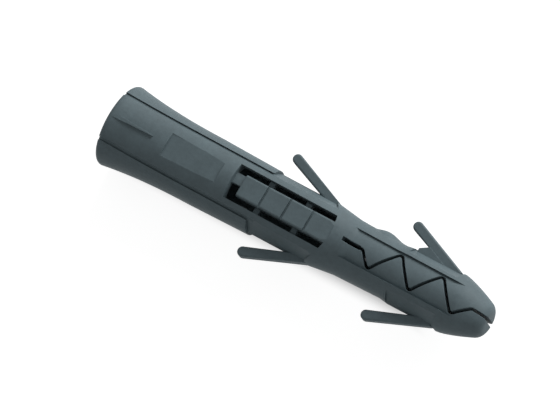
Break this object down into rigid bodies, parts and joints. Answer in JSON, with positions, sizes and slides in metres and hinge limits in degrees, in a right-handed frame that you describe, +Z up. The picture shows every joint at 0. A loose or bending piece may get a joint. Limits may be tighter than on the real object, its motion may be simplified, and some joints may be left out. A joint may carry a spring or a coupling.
{
  "type": "wall plug",
  "caption": "Moulded nylon wall plug with a flared mouth, ladder windows, swept-back barbs and a zigzag slit that parts its nose into jaws.",
  "frame": {"origin": "centre of the mouth, on the plug's axis, in the plane of the rim's end face", "axes": "+X along the axis from the mouth to the tip, +Y towards the barbs on the side of the low hump, +Z up through the middle of the upper window"},
  "size_m": [0.06, 0.0162, 0.0118],
  "materials": {
    "nylon": "satin moulded nylon, dark slate grey"
  },
  "bodies": {
    "root": {"wall_plug": "nylon"}
  },
  "joints": []
}
